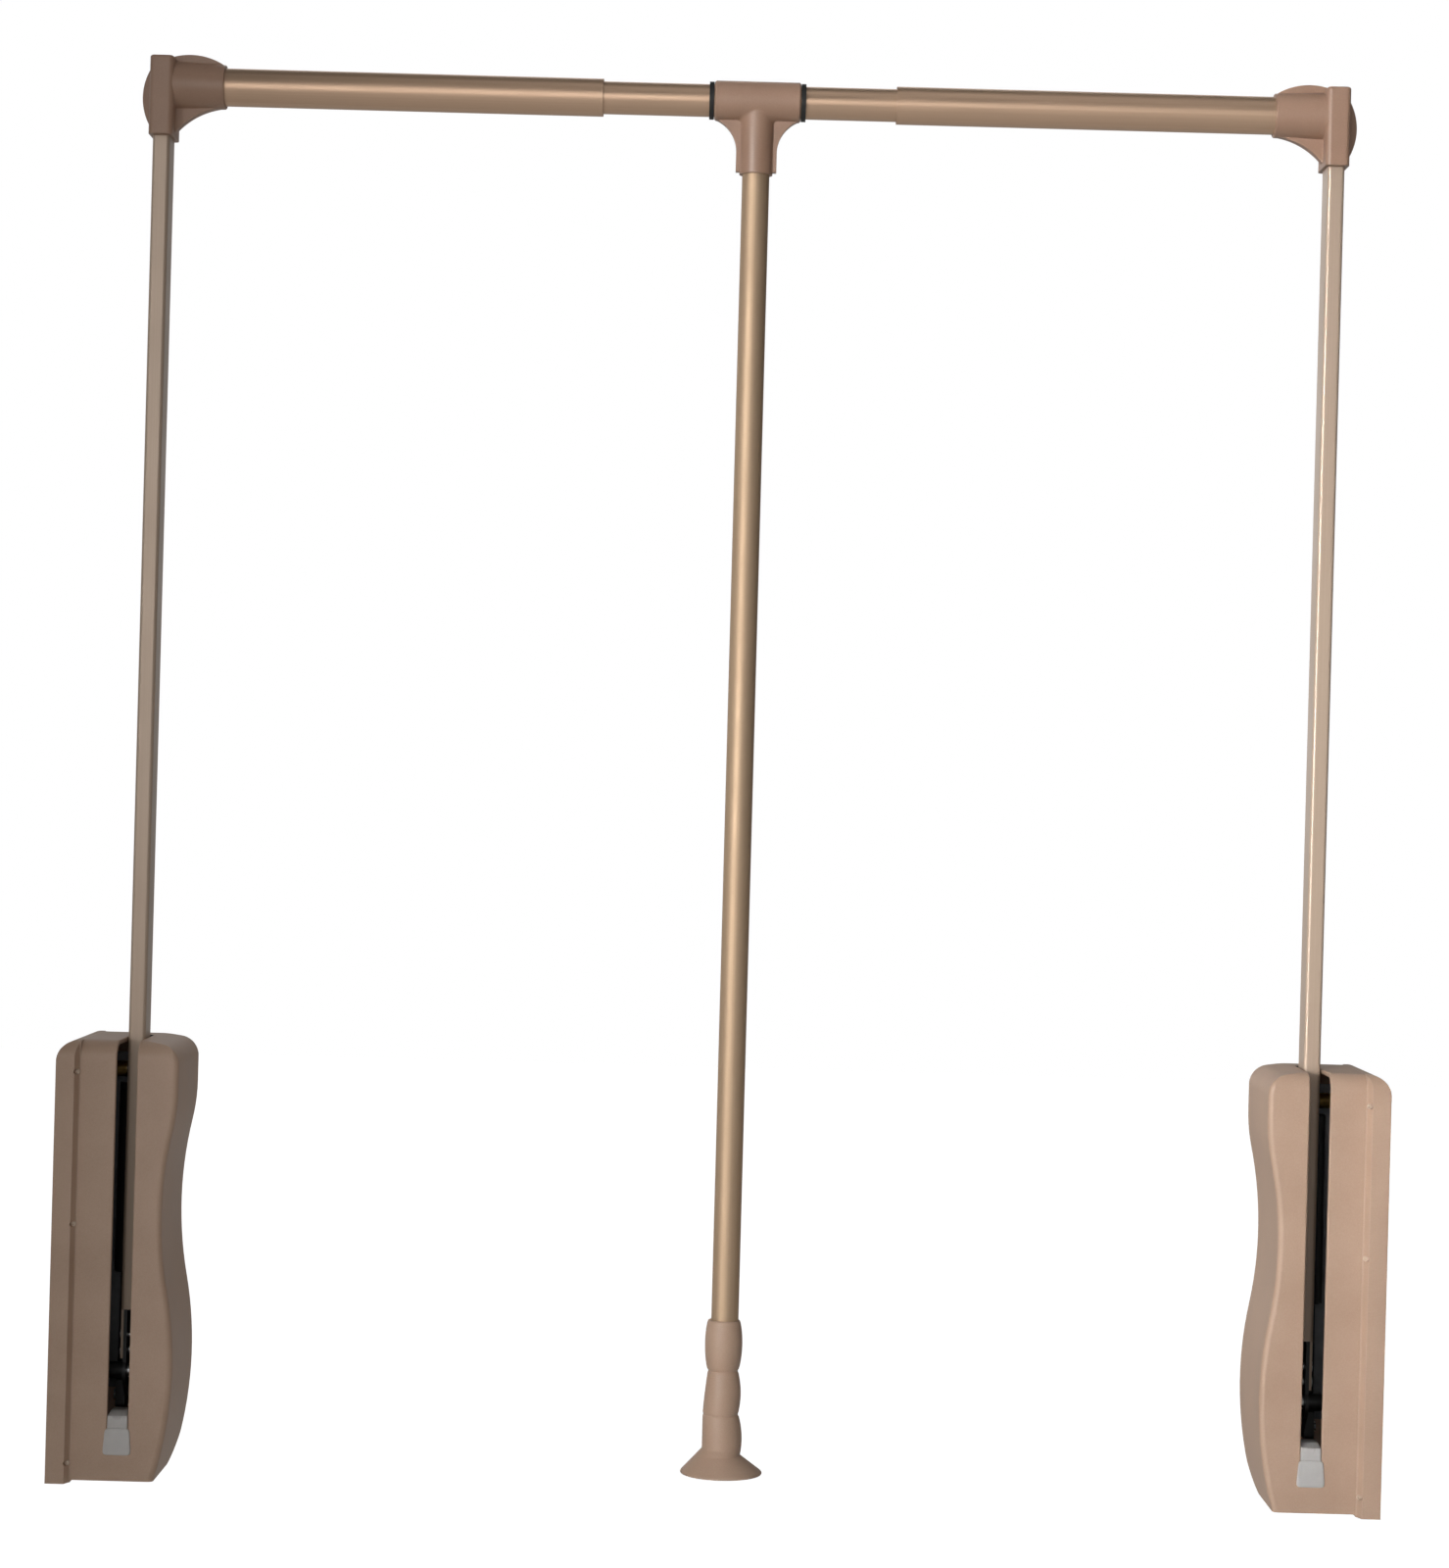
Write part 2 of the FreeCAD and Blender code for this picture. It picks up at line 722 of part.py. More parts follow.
def make_rod_end():
    """A slotted yoke; the slot takes up the crank pin's sideways arc."""
    half_slot = crank_side + crank_pin_radius + yoke_side_gap
    half_block = half_slot + yoke_wall
    middle = -strut_travel / 2
    low = middle - yoke_half_height
    block = strut_block(
        (yoke_far, yoke_near),
        (strut_offset - half_block, strut_offset + half_block),
        (low - yoke_foot_wall, yoke_top),
    )
    block = rounded(block, yoke_corner, lambda p: close(p.x, strut_x))
    slot = strut_block(
        (2 * yoke_far, 0),
        (strut_offset - half_slot, strut_offset + half_slot),
        (low, middle + yoke_half_height),
    )
    hole = strut_bar(rod_tip_radius + fixed_gap, yoke_top - rod_tip_length, yoke_top + 1)
    return cut_all(block, [slot, hole])


def make_bracket():
    """A folded channel inside the arm, open to the front; its cheeks run down to the pivot and the crank."""
    half = arm_depth / 2 - arm_wall - passing_gap
    stem = box((-cheek_x, cheek_x), (-half, half), (pivot_height, bracket_top))
    lobe = bar(bracket_lobe_radius, pivot_at(-cheek_x), pivot_at(cheek_x))
    crank_end = bar(bracket_crank_radius, crank_at(-cheek_x), crank_at(cheek_x))
    reach = crank_at(0) - pivot_at(0)
    across = at(0, -reach.z, reach.y)
    across.normalize()
    start = pivot_at(-cheek_x)
    end = crank_at(-cheek_x)
    near = across * bracket_lobe_radius * 0.98
    far = across * bracket_crank_radius * 0.98
    link = prism([start + near, end + far, end - far, start - near], at(2 * cheek_x, 0, 0))
    inside = cheek_x - bracket_sheet
    channel = box((-inside, inside), (-arm_depth, half - bracket_sheet), (0, bracket_top + 1))
    below_web = box((-inside, inside), (-arm_depth, 3 * arm_depth), (0, arm_foot + bracket_web_margin))
    cuts = [
        channel,
        below_web,
        bar(pivot_radius + running_gap, pivot_at(-arm_width), pivot_at(arm_width)),
        bar(crank_pin_radius + fixed_gap, crank_at(-arm_width), crank_at(arm_width)),
    ]
    for z in arm_rivet_heights:
        cuts.append(through_x(rivet_radius + fixed_gap, 0, z, -arm_width, arm_width))
    return cut_all(join([stem, lobe, crank_end, link]), cuts)


def make_arm_rivet(z):
    side = arm_width / 2
    out = side + arm_rivet_head_height
    shank = through_x(rivet_radius, 0, z, -side - fixed_gap, side + fixed_gap)
    heads = [through_x(arm_rivet_head_radius, 0, z, a, b) for a, b in ((-out, -side), (side, out))]
    return join([shank] + heads)


def make_crank_pin():
    rim = crank_pin_head_rim
    head = bar(crank_pin_radius + rim, crank_at(cheek_x), crank_at(cheek_x + rim))
    return join([head, bar(crank_pin_radius, crank_at(yoke_far - rim), crank_at(cheek_x + rim / 2))])


def make_arm_tube():
    half_x = arm_width / 2
    half_y = arm_depth / 2
    tube = rounded_post(half_x, half_y, arm_foot, arm_top, arm_corner)
    hollow = rounded_post(
        half_x - arm_wall, half_y - arm_wall, arm_foot - 1, arm_top + 1, arm_corner - arm_wall
    )
    notch = box(
        (-arm_width, arm_width),
        (-arm_depth, -half_y + arm_notch_depth),
        (arm_foot - 1, pivot_height + arm_notch_above_pivot),
    )
    cuts = [hollow, notch, screw_hole(elbow_screws[0])]
    for z in arm_rivet_heights:
        cuts.append(through_x(rivet_radius + fixed_gap, 0, z, -arm_width, arm_width))
    return cut_all(tube, cuts)


def screw_hole(seat):
    """A hole from the pieces' middle to the back."""
    return bar(screw_radius + fixed_gap, at(seat.x, 0, seat.z), seat + at(0, elbow_half_y, 0))


def screw_recess(seat):
    return bar(screw_head_radius + fixed_gap, seat, seat + at(0, elbow_half_y, 0))


def make_screw(seat):
    """A small screw driven in from the back."""
    head = bar(screw_head_radius, seat, seat + at(0, screw_head_height, 0))
    shank = bar(screw_radius, seat - at(0, screw_length, 0), seat + at(0, screw_head_height / 2, 0))
    return join([head, shank])


def make_elbow():
    """A moulding with an upright socket for the arm, a round one for the rail and thin webs between them."""
    half_x = elbow_half_x
    y = -elbow_web / 2
    root = outer_tube_radius + elbow_root_wall
    mouth = outer_tube_radius + elbow_mouth_wall
    post = rounded_post(half_x, elbow_half_y, elbow_foot, elbow_top, elbow_corner)
    post = rounded(post, elbow_top_radius, lambda p: close(p.z, elbow_top))
    start = half_x / 2
    socket = Part.makeCone(root, mouth, elbow_mouth - start, at(start, 0, rail_height), at(1, 0, 0))
    socket = rounded(socket, elbow_mouth_edge, lambda p: close(p.x, elbow_mouth))
    web_end = elbow_mouth - elbow_web_end
    half_web = mouth - elbow_web_end / 2
    web_foot = elbow_foot + elbow_web_rise
    scoop_start = at(half_x, y, web_foot)
    scoop_end = at(web_end, y, rail_height - half_web)
    crest_end = at(web_end, y, rail_height + half_web)
    crest_start = at(0, y, elbow_top - elbow_top_radius / 2)
    inner = [bent(scoop_start, scoop_end, elbow_scoop)]
    inner += lines(scoop_end, crest_end)
    inner += [bent(crest_end, crest_start, -elbow_crest)]
    inner += lines(crest_start, at(0, y, web_foot), scoop_start)
    rear_top = at(1 - half_x, y, elbow_top - 2 * elbow_top_radius)
    rear_foot = at(1 - half_x, y, elbow_foot + 2 * elbow_top_radius)
    rear = [bent(rear_top, rear_foot, -elbow_back_bulge)] + lines(rear_foot, rear_top)
    webs = [profile(outline, at(0, elbow_web, 0)) for outline in (inner, rear)]
    arm_socket = rounded_post(
        arm_width / 2 + fixed_gap, arm_depth / 2 + fixed_gap, elbow_foot - 1, arm_top, arm_corner
    )
    rail_socket = through_x(outer_tube_radius + fixed_gap, 0, rail_height, tube_start, elbow_mouth + 1)
    cuts = [arm_socket, rail_socket]
    for seat in elbow_screws:
        cuts += [screw_hole(seat), screw_recess(seat)]
    return cut_all(join([post, socket] + webs), cuts)


def make_outer_tube():
    end = arm_x - outer_tube_end
    bore = outer_tube_radius - tube_wall
    tube = pipe(outer_tube_radius, bore, at(tube_start, 0, rail_height), at(end, 0, rail_height))
    return tube.cut(screw_hole(elbow_screws[1]))


def make_tee():
    """A sleeve that turns on the rail, a socket for the pull rod and a thin web on both sides of it."""
    half = tee_length / 2
    y = -tee_web / 2
    under = rail_height - tee_radius
    sleeve = through_x(tee_radius, 0, rail_height, -half, half)
    rims = [edge for edge in sleeve.Edges if close(abs(middle_of(edge).x), half)]
    sleeve = sleeve.makeChamfer(tee_rim, rims)
    socket = bar(tee_socket_radius, at(0, 0, tee_foot), at(0, 0, rail_height))
    body = join([sleeve, socket])
    inner = half - 2 * tee_rim
    body = rounded(body, tee_blend, lambda p: tee_foot + 1 < p.z < rail_height and abs(p.x) < inner)
    web_end = half - tee_web_end
    web_side = tee_socket_radius + tee_web_side
    high = at(web_end, y, under + tee_web_end / 2)
    low = at(web_side, y, under - tee_scoop_drop)
    foot = tee_foot + tee_web_foot
    outline = lines(at(0, y, rail_height), at(web_end, y, rail_height), high)
    outline += [bent(high, low, -tee_scoop)]
    outline += lines(low, at(web_side, y, foot), at(0, y, foot), at(0, y, rail_height))
    web = profile(outline, at(0, tee_web, 0))
    body = join([body, web, web.mirror(at(0, 0, 0), at(1, 0, 0))])
    cuts = [
        through_x(inner_tube_radius + running_gap, 0, rail_height, -tee_length, tee_length),
        bar(pull_rod_radius + fixed_gap, at(0, 0, tee_foot - 1), at(0, 0, pull_rod_top)),
        screw_hole(tee_screw),
        screw_recess(tee_screw),
    ]
    return cut_all(body, cuts)


def make_grip():
    """Three swelling lobes with creases between them, a finger groove on one side and a conical foot."""

    def up(radius, share):
        return at(radius, 0, grip_foot + share * grip_length)

    crease = up(grip_crease_radius, 0.678)
    waist = up(grip_waist_radius, 0.406)
    neck = up(grip_neck_radius, 0.165)
    rim = at(grip_flare_radius - grip_rim_round / 2, 0, grip_foot + grip_rim_height)
    rim_side = at(grip_flare_radius, 0, grip_foot + grip_rim_height / 2)
    rim_foot = at(grip_flare_radius - grip_rim_round, 0, grip_foot)
    top_edge = up(grip_top_radius, 1.0)
    outline = lines(up(0, 1.0), top_edge)
    outline += [
        arc(top_edge, up(grip_lobe_radius, 0.878), crease),
        arc(crease, up(grip_waist_radius, 0.522), waist),
        arc(waist, up(grip_hip_radius, 0.278), neck),
    ]
    outline += lines(neck, rim)
    outline += [arc(rim, rim_side, rim_foot)]
    outline += lines(rim_foot, at(0, 0, grip_foot), up(0, 1.0))
    body = Part.Face(Part.Wire(outline)).revolve(at(0, 0, 0), at(0, 0, 1), 360)
    groove_x = grip_waist_radius - finger_groove_depth + finger_groove_radius
    groove_ends = [at(groove_x, side * grip_flare_radius, waist.z) for side in (-1, 1)]
    cuts = [
        bar(finger_groove_radius, *groove_ends),
        bar(grip_flare_radius - grip_dish_margin, at(0, 0, grip_foot - 1), at(0, 0, grip_foot + grip_dish)),
        bar(pull_rod_radius + fixed_gap, at(0, 0, pull_rod_foot), at(0, 0, grip_top + 1)),
    ]
    return cut_all(body, cuts)


def make_pull_rod():
    bore = pull_rod_radius - pull_rod_wall
    rod = pipe(pull_rod_radius, bore, at(0, 0, pull_rod_foot), at(0, 0, pull_rod_top))
    return rod.cut(screw_hole(tee_screw))


def make_tube_plug(side):
    """An end cap in the centre tube; its rim slides in the outer tube."""
    end = at(side * inner_tube_length / 2, 0, rail_height)
    out = at(side, 0, 0)
    cap = bar(outer_tube_radius - tube_wall - running_gap, end, end + out * plug_rim)
    stem = bar(inner_tube_radius - tube_wall - fixed_gap, end - out * plug_stem, end)
    return join([cap, stem])


def make_tee_ring(side):
    near = at(side * (tee_length / 2 + ring_gap), 0, rail_height)
    return pipe(outer_tube_radius, inner_tube_radius + fixed_gap, near, near + at(side * ring_width, 0, 0))


def make_centre_tube():
    half = inner_tube_length / 2
    ends = [at(side * half, 0, rail_height) for side in (-1, 1)]
    return pipe(inner_tube_radius, inner_tube_radius - tube_wall, *ends)


# Seats of the screws that are driven in from the back
elbow_screws = [
    at(0, elbow_half_y - elbow_screw_sink, rail_height - elbow_screw_drop),
    at(elbow_screw_along, outer_tube_radius + elbow_screw_floor, rail_height),
]
tee_screw = at(0, tee_socket_radius - tee_screw_sink, rail_height - tee_screw_drop)

os.makedirs("parts", exist_ok=True)

export_pair("base_shell", make_base())
export_pair("cover", make_cover())
export_pair("cover_screws", *[make_cover_screw(z) for z in cover_screw_heights])
export_pair("bumper", make_bumper())
export_pair("arm_stop", make_arm_stop())
export_pair("chassis", make_chassis())
export_pair("chassis_rivets", *[make_chassis_rivet(y, z) for y, z in chassis_rivet_places])
export_pair("pivot_pin", make_pin(pivot_radius, pivot_at))
export_pair(
    "pivot_bushes",
    make_spacer(pivot_radius, bush_wall, pivot_at, floor_x + sheet + clip_thickness, -cheek_x - passing_gap),
    make_spacer(pivot_radius, bush_wall, pivot_at, cheek_x + passing_gap, chassis_inner_face),
)
export_pair("pin_clips", make_clip(pivot_radius, pivot_at), make_clip(strut_pin_radius, strut_top))
export_pair("strut_top_pin", make_pin(strut_pin_radius, strut_top))
export_pair(
    "strut_top_spacers",
    make_spacer(
        strut_pin_radius, spacer_wall, strut_top, floor_x + sheet + clip_thickness, yoke_far - spacer_gap
    ),
    make_spacer(strut_pin_radius, spacer_wall, strut_top, yoke_near + spacer_gap, chassis_inner_face),
)
export_pair("strut_cylinder", make_strut_cylinder())
export_pair("strut_seal", make_strut_seal())
export_pair("strut_rod", make_strut_rod())
export_pair("strut_rod_end", make_rod_end())
export_pair("arm_bracket", make_bracket())
export_pair("arm_rivets", *[make_arm_rivet(z) for z in arm_rivet_heights])
export_pair("crank_pin", make_crank_pin())
export_pair("arm_tube", make_arm_tube())
export_pair("elbow", make_elbow())
export_pair("elbow_screws", *[make_screw(seat) for seat in elbow_screws])
export_pair("outer_tube", make_outer_tube())

centre_pieces = {
    "centre_tube": [make_centre_tube()],
    "centre_tube_plugs": [make_tube_plug(-1), make_tube_plug(1)],
    "tee_rings": [make_tee_ring(-1), make_tee_ring(1)],
    "tee_connector": [make_tee()],
    "tee_screw": [make_screw(tee_screw)],
    "pull_rod": [make_pull_rod()],
    "grip": [make_grip()],
}
for name, pieces in centre_pieces.items():
    for piece in pieces:
        piece.translate(at(tee_offset, 0, 0))
    export(name, *pieces)
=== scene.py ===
# %% [markdown]
# # A pull-down wardrobe rail, dressed for a product picture
#
# Two housings sit on the side walls of a wardrobe. A gas strut in each one helps a swinging arm, and
# the arms carry a telescopic rail from which clothes hang. A pull rod with a soft grip hangs from the
# middle of the rail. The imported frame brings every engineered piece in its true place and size, in
# metres, so this lesson adds the camera, the light, the finishes, and the pieces whose soft forms are
# easier to write as surfaces than as solids.

# %% Load the engineered frame
import math

import bmesh
import bpy
import numpy as np
from mathutils import Matrix


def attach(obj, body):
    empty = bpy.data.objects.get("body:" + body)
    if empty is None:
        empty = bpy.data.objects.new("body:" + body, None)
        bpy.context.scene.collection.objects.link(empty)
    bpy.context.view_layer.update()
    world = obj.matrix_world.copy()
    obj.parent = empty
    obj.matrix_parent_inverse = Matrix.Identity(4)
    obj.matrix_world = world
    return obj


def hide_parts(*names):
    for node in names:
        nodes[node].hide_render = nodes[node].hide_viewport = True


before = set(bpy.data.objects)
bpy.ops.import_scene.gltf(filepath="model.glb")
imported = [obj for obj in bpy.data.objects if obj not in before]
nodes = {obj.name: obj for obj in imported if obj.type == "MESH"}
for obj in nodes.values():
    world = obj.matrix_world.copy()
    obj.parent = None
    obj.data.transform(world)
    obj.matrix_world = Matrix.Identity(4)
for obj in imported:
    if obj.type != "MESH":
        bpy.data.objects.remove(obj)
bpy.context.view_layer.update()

scene = bpy.context.scene
scene.view_settings.view_transform = "Standard"
MM = 0.001

# %% [markdown]
# ## Camera
#
# The picture was taken from straight ahead, about two metres away and half way up, with the camera
# turned a little about its own line of sight. A long lens keeps the uprights parallel. The picture is
# 1479 wide and 1600 high, so the longer, upright side carries the 36 mm of the sensor.

# %% Camera
sensor_mm = 36.0
lens_mm = 79.8
camera_place = (-0.0042, -2.04, 0.4118)
roll_degrees = 1.55

camera_data = bpy.data.cameras.new("studio_camera")
camera_data.sensor_fit = "VERTICAL"
camera_data.sensor_height = sensor_mm
camera_data.lens = lens_mm
camera_data.clip_end = 50.0
camera = bpy.data.objects.new("studio_camera", camera_data)
roll = Matrix.Rotation(-math.radians(roll_degrees), 4, "Y")
looking_ahead = Matrix.Rotation(math.radians(90), 4, "X")
camera.matrix_world = Matrix.Translation(camera_place) @ roll @ looking_ahead
scene.collection.objects.link(camera)
scene.camera = camera
print("camera at", [round(v, 3) for v in camera.matrix_world.translation], "roll", roll_degrees)

# %% [markdown]
# ## Colours and nodes
#
# Colours are written as the hex values seen on a screen. The renderer counts light, so one function
# turns them into linear values. Another small function adds a shader node, sets it up and links it,
# which keeps each finish down to a readable list. Most values of a noise lie between 0.3 and 0.7, and
# that span is stretched wherever a noise drives a colour or a gloss.

# %% Colour and node helpers
NOISE_SPAN = {"From Min": 0.3, "From Max": 0.7}


def linear(hex_colour):
    """sRGB hex to linear red, green, blue and alpha: the standard curve, part straight and part power."""
    channel = np.array([int(hex_colour[i : i + 2], 16) for i in (1, 3, 5)]) / 255.0
    value = np.where(channel <= 0.04045, channel / 12.92, ((channel + 0.055) / 1.055) ** 2.4)
    return (*value.tolist(), 1.0)


def add(tree, kind, inputs=None, **settings):
    """Adds one node, with its settings and with each input either linked to a socket or given a value."""
    node = tree.nodes.new(kind)
    for name, value in settings.items():
        setattr(node, name, value)
    for name, value in (inputs or {}).items():
        if isinstance(value, bpy.types.NodeSocket):
            tree.links.new(value, node.inputs[name])
        else:
            node.inputs[name].default_value = value
    return node


def start_material(name):
    """A new node material, its Principled shader and its Object coordinates."""
    material = bpy.data.materials.new(name)
    material.use_nodes = True
    tree = material.node_tree
    shader = tree.nodes["Principled BSDF"]
    place = add(tree, "ShaderNodeTexCoord").outputs["Object"]
    return material, tree, shader, place


def per_metre(size_mm):
    """Texture scale for a pattern whose features are this many millimetres apart."""
    return 1.0 / (size_mm * MM)


print("white is", linear("#ffffff"))

# %% [markdown]
# ## Surround
#
# Camera and see-through rays find a white surround, as in a catalogue picture, while the light that the
# surround sheds on the object stays at a plain level. What shiny tubes mirror is a studio too: a bright
# band in front, a little above eye level, that falls off to the sides, upwards and downwards. That
# fall-off gives a round tube its one clear stripe and its darker edges.

# %% Surround
band_left = 0.45  # the band's middle lies this far to the left, as a share of the direction's length
band_rise = 0.12  # and this far up
shed_level = 0.19

world = bpy.data.worlds.new("studio_surround")
world.use_nodes = True
scene.world = world
tree = world.node_tree
tree.nodes.clear()
ray = add(tree, "ShaderNodeLightPath")
towards = add(tree, "ShaderNodeTexCoord").outputs["Generated"]
axes = add(tree, "ShaderNodeSeparateXYZ", {"Vector": towards})
aside = add(tree, "ShaderNodeMath", {0: axes.outputs["X"], 1: band_left}, operation="ADD")
aside = add(tree, "ShaderNodeMath", {0: aside.outputs[0]}, operation="ABSOLUTE")
level = add(tree, "ShaderNodeMath", {0: axes.outputs["Z"], 1: band_rise}, operation="SUBTRACT")
level = add(tree, "ShaderNodeMath", {0: level.outputs[0]}, operation="ABSOLUTE")
across = add(
    tree,
    "ShaderNodeMapRange",
    {"Value": aside.outputs[0], "From Min": 0.25, "From Max": 1.0, "To Min": 0.9, "To Max": 0.08},
    interpolation_type="SMOOTHSTEP",
)
upward = add(
    tree,
    "ShaderNodeMapRange",
    {"Value": level.outputs[0], "From Min": 0.05, "From Max": 0.32, "To Min": 1.0, "To Max": 0.10},
    interpolation_type="SMOOTHSTEP",
)
band = add(tree, "ShaderNodeMath", {0: across.outputs[0], 1: upward.outputs[0]}, operation="MULTIPLY")
see = add(
    tree,
    "ShaderNodeMath",
    {0: ray.outputs["Is Camera Ray"], 1: ray.outputs["Is Transmission Ray"]},
    operation="MAXIMUM",
)
white = add(tree, "ShaderNodeBackground", {"Color": linear("#ffffff"), "Strength": 1.0})
mirrored = add(tree, "ShaderNodeBackground", {"Color": linear("#ffffff"), "Strength": band.outputs[0]})
shed = add(tree, "ShaderNodeBackground", {"Color": linear("#ffffff"), "Strength": shed_level})
glossy_or_shed = add(
    tree,
    "ShaderNodeMixShader",
    {"Fac": ray.outputs["Is Glossy Ray"], 1: shed.outputs[0], 2: mirrored.outputs[0]},
)
mixed = add(
    tree,
    "ShaderNodeMixShader",
    {"Fac": see.outputs[0], 1: glossy_or_shed.outputs[0], 2: white.outputs[0]},
)
add(tree, "ShaderNodeOutputWorld", {"Surface": mixed.outputs[0]})
print("surround:", len(tree.nodes), "nodes")

# %% [markdown]
# ## Surfaces and floor
#
# Every new piece here is a grid of points worked out by a formula. One function joins grids into a mesh,
# closes their seams and poles and turns the faces outwards. The first piece is the plain pale floor. A
# lift like this is screwed in at head height, so the floor lies 0.9 m below its feet, clear of the rail
# when it is pulled down. To the eye the paper glows until it is nearly white, and keeps its shadow.


# %% Floor
def surface(name, grids):
    """One object from grids of points (rows, columns, 3): quads between neighbours, then points that
    coincide at seams and poles are merged and the faces are turned outwards."""
    points = np.concatenate([grid.reshape(-1, 3) for grid in grids])
    quads = []
    start = 0
    for grid in grids:
        rows, columns = grid.shape[:2]
        index = start + np.arange(rows * columns).reshape(rows, columns)
        corners = [index[:-1, :-1], index[:-1, 1:], index[1:, 1:], index[1:, :-1]]
        quads.append(np.stack(corners, axis=-1).reshape(-1, 4))
        start += rows * columns
    mesh = bpy.data.meshes.new(name)
    mesh.from_pydata(points.tolist(), [], np.concatenate(quads).tolist())
    work = bmesh.new()
    work.from_mesh(mesh)
    bmesh.ops.remove_doubles(work, verts=work.verts, dist=1e-6)
    bmesh.ops.recalc_face_normals(work, faces=work.faces)
    work.to_mesh(mesh)
    work.free()
    mesh.polygons.foreach_set("use_smooth", np.ones(len(mesh.polygons), dtype=bool))
    item = bpy.data.objects.new(name, mesh)
    scene.collection.objects.link(item)
    return item


def floor_points(size, height, count):
    """A level sheet: x and y run from -size to size, z is the height."""
    line = np.linspace(-size, size, count)
    x, y = np.meshgrid(line, line)
    return np.stack([x, y, np.full_like(x, height)], axis=-1)


floor = surface("studio_floor", [floor_points(size=14.0, height=-0.9, count=9)])
paper = bpy.data.materials.new("pale_floor_paper")
paper.use_nodes = True
tree = paper.node_tree
tree.nodes.clear()
ray = add(tree, "ShaderNodeLightPath")
seen = add(tree, "ShaderNodeMath", {0: ray.outputs["Is Glossy Ray"], 1: 0.3}, operation="MULTIPLY").outputs[0]
for kind in ("Is Camera Ray", "Is Transmission Ray"):
    seen = add(tree, "ShaderNodeMath", {0: seen, 1: ray.outputs[kind]}, operation="MAXIMUM").outputs[0]
sheet_paper = add(tree, "ShaderNodeBsdfDiffuse", {"Color": linear("#e8e6e3")})
lift = add(tree, "ShaderNodeEmission", {"Color": linear("#ffffff"), "Strength": 0.93})
both = add(tree, "ShaderNodeAddShader", {0: sheet_paper.outputs[0], 1: lift.outputs[0]})
shown = add(tree, "ShaderNodeMixShader", {"Fac": seen, 1: sheet_paper.outputs[0], 2: both.outputs[0]})
add(tree, "ShaderNodeOutputMaterial", {"Surface": shown.outputs[0]})
floor.data.materials.append(paper)
print("floor:", len(floor.data.polygons), "faces")

# %% [markdown]
# ## Lamps
#
# Three wide soft boxes, in front, behind and above, give an even plain light. A tall narrow strip at the
# left adds the main light. Its small spread keeps the beam together, so that it falls on the right
# housing and fades towards the left one.


# %% Lamps
def lamp(name, place, target, width, height, watts, spread=180.0):
    """A white soft box at a place, turned to face a target; a smaller spread keeps its beam together."""
    data = bpy.data.lights.new(name, "AREA")
    data.shape = "RECTANGLE"
    data.size = width
    data.size_y = height
    data.energy = watts
    data.spread = math.radians(spread)
    item = bpy.data.objects.new(name, data)
    item.location = place
    direction = np.array(target) - np.array(place)
    yaw = math.atan2(direction[1], direction[0])
    pitch = math.atan2(direction[2], math.hypot(direction[0], direction[1]))
    item.rotation_euler = (math.pi / 2 + pitch, 0.0, yaw - math.pi / 2)
    scene.collection.objects.link(item)
    return item


middle = (0.0, 0.0, 0.4)
lamps = [
    lamp("key_strip_box", (-1.4, -2.4, 0.75), (0.37, 0.0, 0.42), width=0.15, height=1.2, watts=3.0, spread=28.0),
    lamp("front_soft_box", (-0.3, -3.2, 0.9), middle, width=1.4, height=1.0, watts=10.5),
    lamp("back_soft_box", (0.0, 2.0, 2.2), middle, width=1.6, height=1.2, watts=9.0),
    lamp("top_soft_box", (0.3, -0.8, 2.6), (0.2, 0.0, 0.3), width=1.2, height=1.2, watts=3.0),
]
print("lamps:", [item.name for item in lamps])

# %% [markdown]
# ## Moulded housings, elbows and tee
#
# The housings, the elbows, the tee and the grip are moulded ABS in a champagne colour, with a little
# pearl pigment in it. The mould is spark-eroded, which leaves a very fine even grain, so the gloss is low
# and wide. Three noises do this: a slow one for the pigment's clouding, a fine one for the grain and
# a finer one for pearl flecks. The real grain is about 0.2 mm and the flecks are smaller still. Both
# would vanish in the picture, so they are drawn at 0.9 mm and 0.7 mm, and the grain is kept shallow.
#
# Handling polishes the edges of a moulding, so they end up a little paler and smoother. The paler edge
# is partly a painted highlight: it stands in for the bright line that light draws along each edge. A bevel
# node looks round the corner of each edge: where its softened normal leaves the true one, there is an edge.


# %% Champagne ABS
def edge_polish_and_painted_highlight(tree, radius_mm):
    """The softened normal near edges, and a mask that is 1 on an edge and 0 a radius away from it; the mask
    paints the pale edges, partly polish and partly a painted highlight.
    """
    soft = add(tree, "ShaderNodeBevel", {"Radius": radius_mm * MM}, samples=6).outputs["Normal"]
    true = add(tree, "ShaderNodeNewGeometry").outputs["Normal"]
    agree = add(tree, "ShaderNodeVectorMath", {0: soft, 1: true}, operation="DOT_PRODUCT")
    mask = add(
        tree,
        "ShaderNodeMapRange",
        {"Value": agree.outputs["Value"], "From Min": 0.985, "From Max": 0.86},
    )
    return soft, mask.outputs[0]


